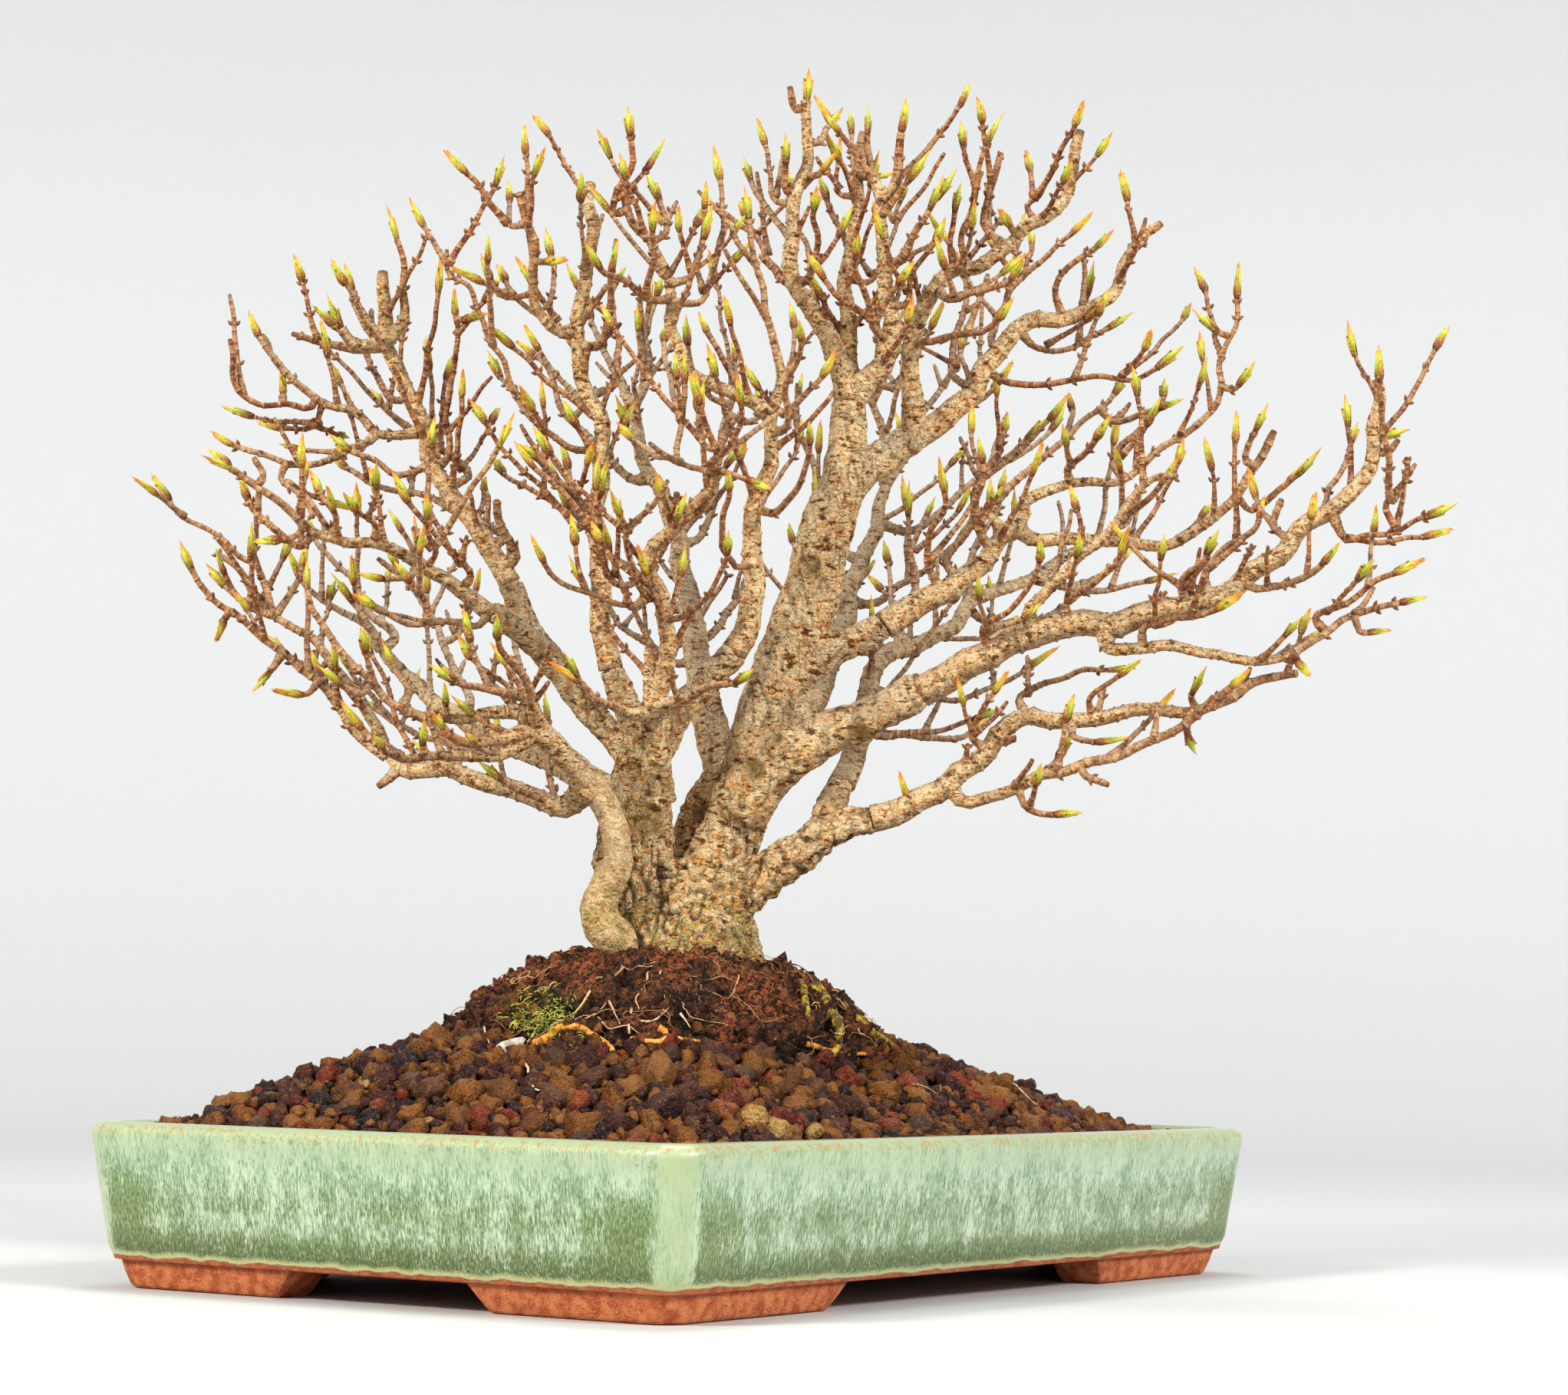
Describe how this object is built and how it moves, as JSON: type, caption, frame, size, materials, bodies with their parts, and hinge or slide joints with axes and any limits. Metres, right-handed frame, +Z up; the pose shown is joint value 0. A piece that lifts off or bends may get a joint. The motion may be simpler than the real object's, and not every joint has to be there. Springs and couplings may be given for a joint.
{
  "type": "trident maple bonsai",
  "caption": "Leafless bonsai in early spring: forked trunk, fanned twigs with opening buds, on an old root ball in a heap of granules in a shallow glazed rectangular pot on corner feet.",
  "frame": {"origin": "middle of the object's footprint box, on the surface that the pot stands on", "axes": "+X along the pot's long side, +Y along its short side, +Z up; the crown reaches furthest along Y"},
  "size_m": [0.279, 0.3302, 0.319],
  "materials": {
    "glaze": "glossy celadon green with darker streaks; bare orange terracotta feet",
    "screen": "matt black",
    "wire": "dull grey wire",
    "granules": "rough moist lava, pumice and baked clay",
    "roots": "dark fibrous roots and old soil",
    "bark": "flaking tan and grey bark",
    "twigs": "ringed brown and grey twigs with green and orange buds"
  },
  "bodies": {
    "root": {"pot": "glaze", "drain_screen_left": "screen", "screen_clip_left": "wire", "drain_screen_right": "screen", "screen_clip_right": "wire", "anchor_wire": "wire", "soil": "granules", "root_ball": "roots", "trunk": "bark", "spray_low_left": "twigs", "spray_hook": "twigs", "spray_left_back": "twigs", "spray_front_left": "twigs", "spray_left": "twigs", "spray_left_top": "twigs", "spray_front": "twigs", "spray_middle": "twigs", "spray_top": "twigs", "spray_top_right": "twigs", "spray_right_high": "twigs", "spray_right": "twigs", "spray_low_right": "twigs", "spray_back_right": "twigs", "spray_back": "twigs", "spray_back_rise": "twigs"}
  },
  "joints": []
}
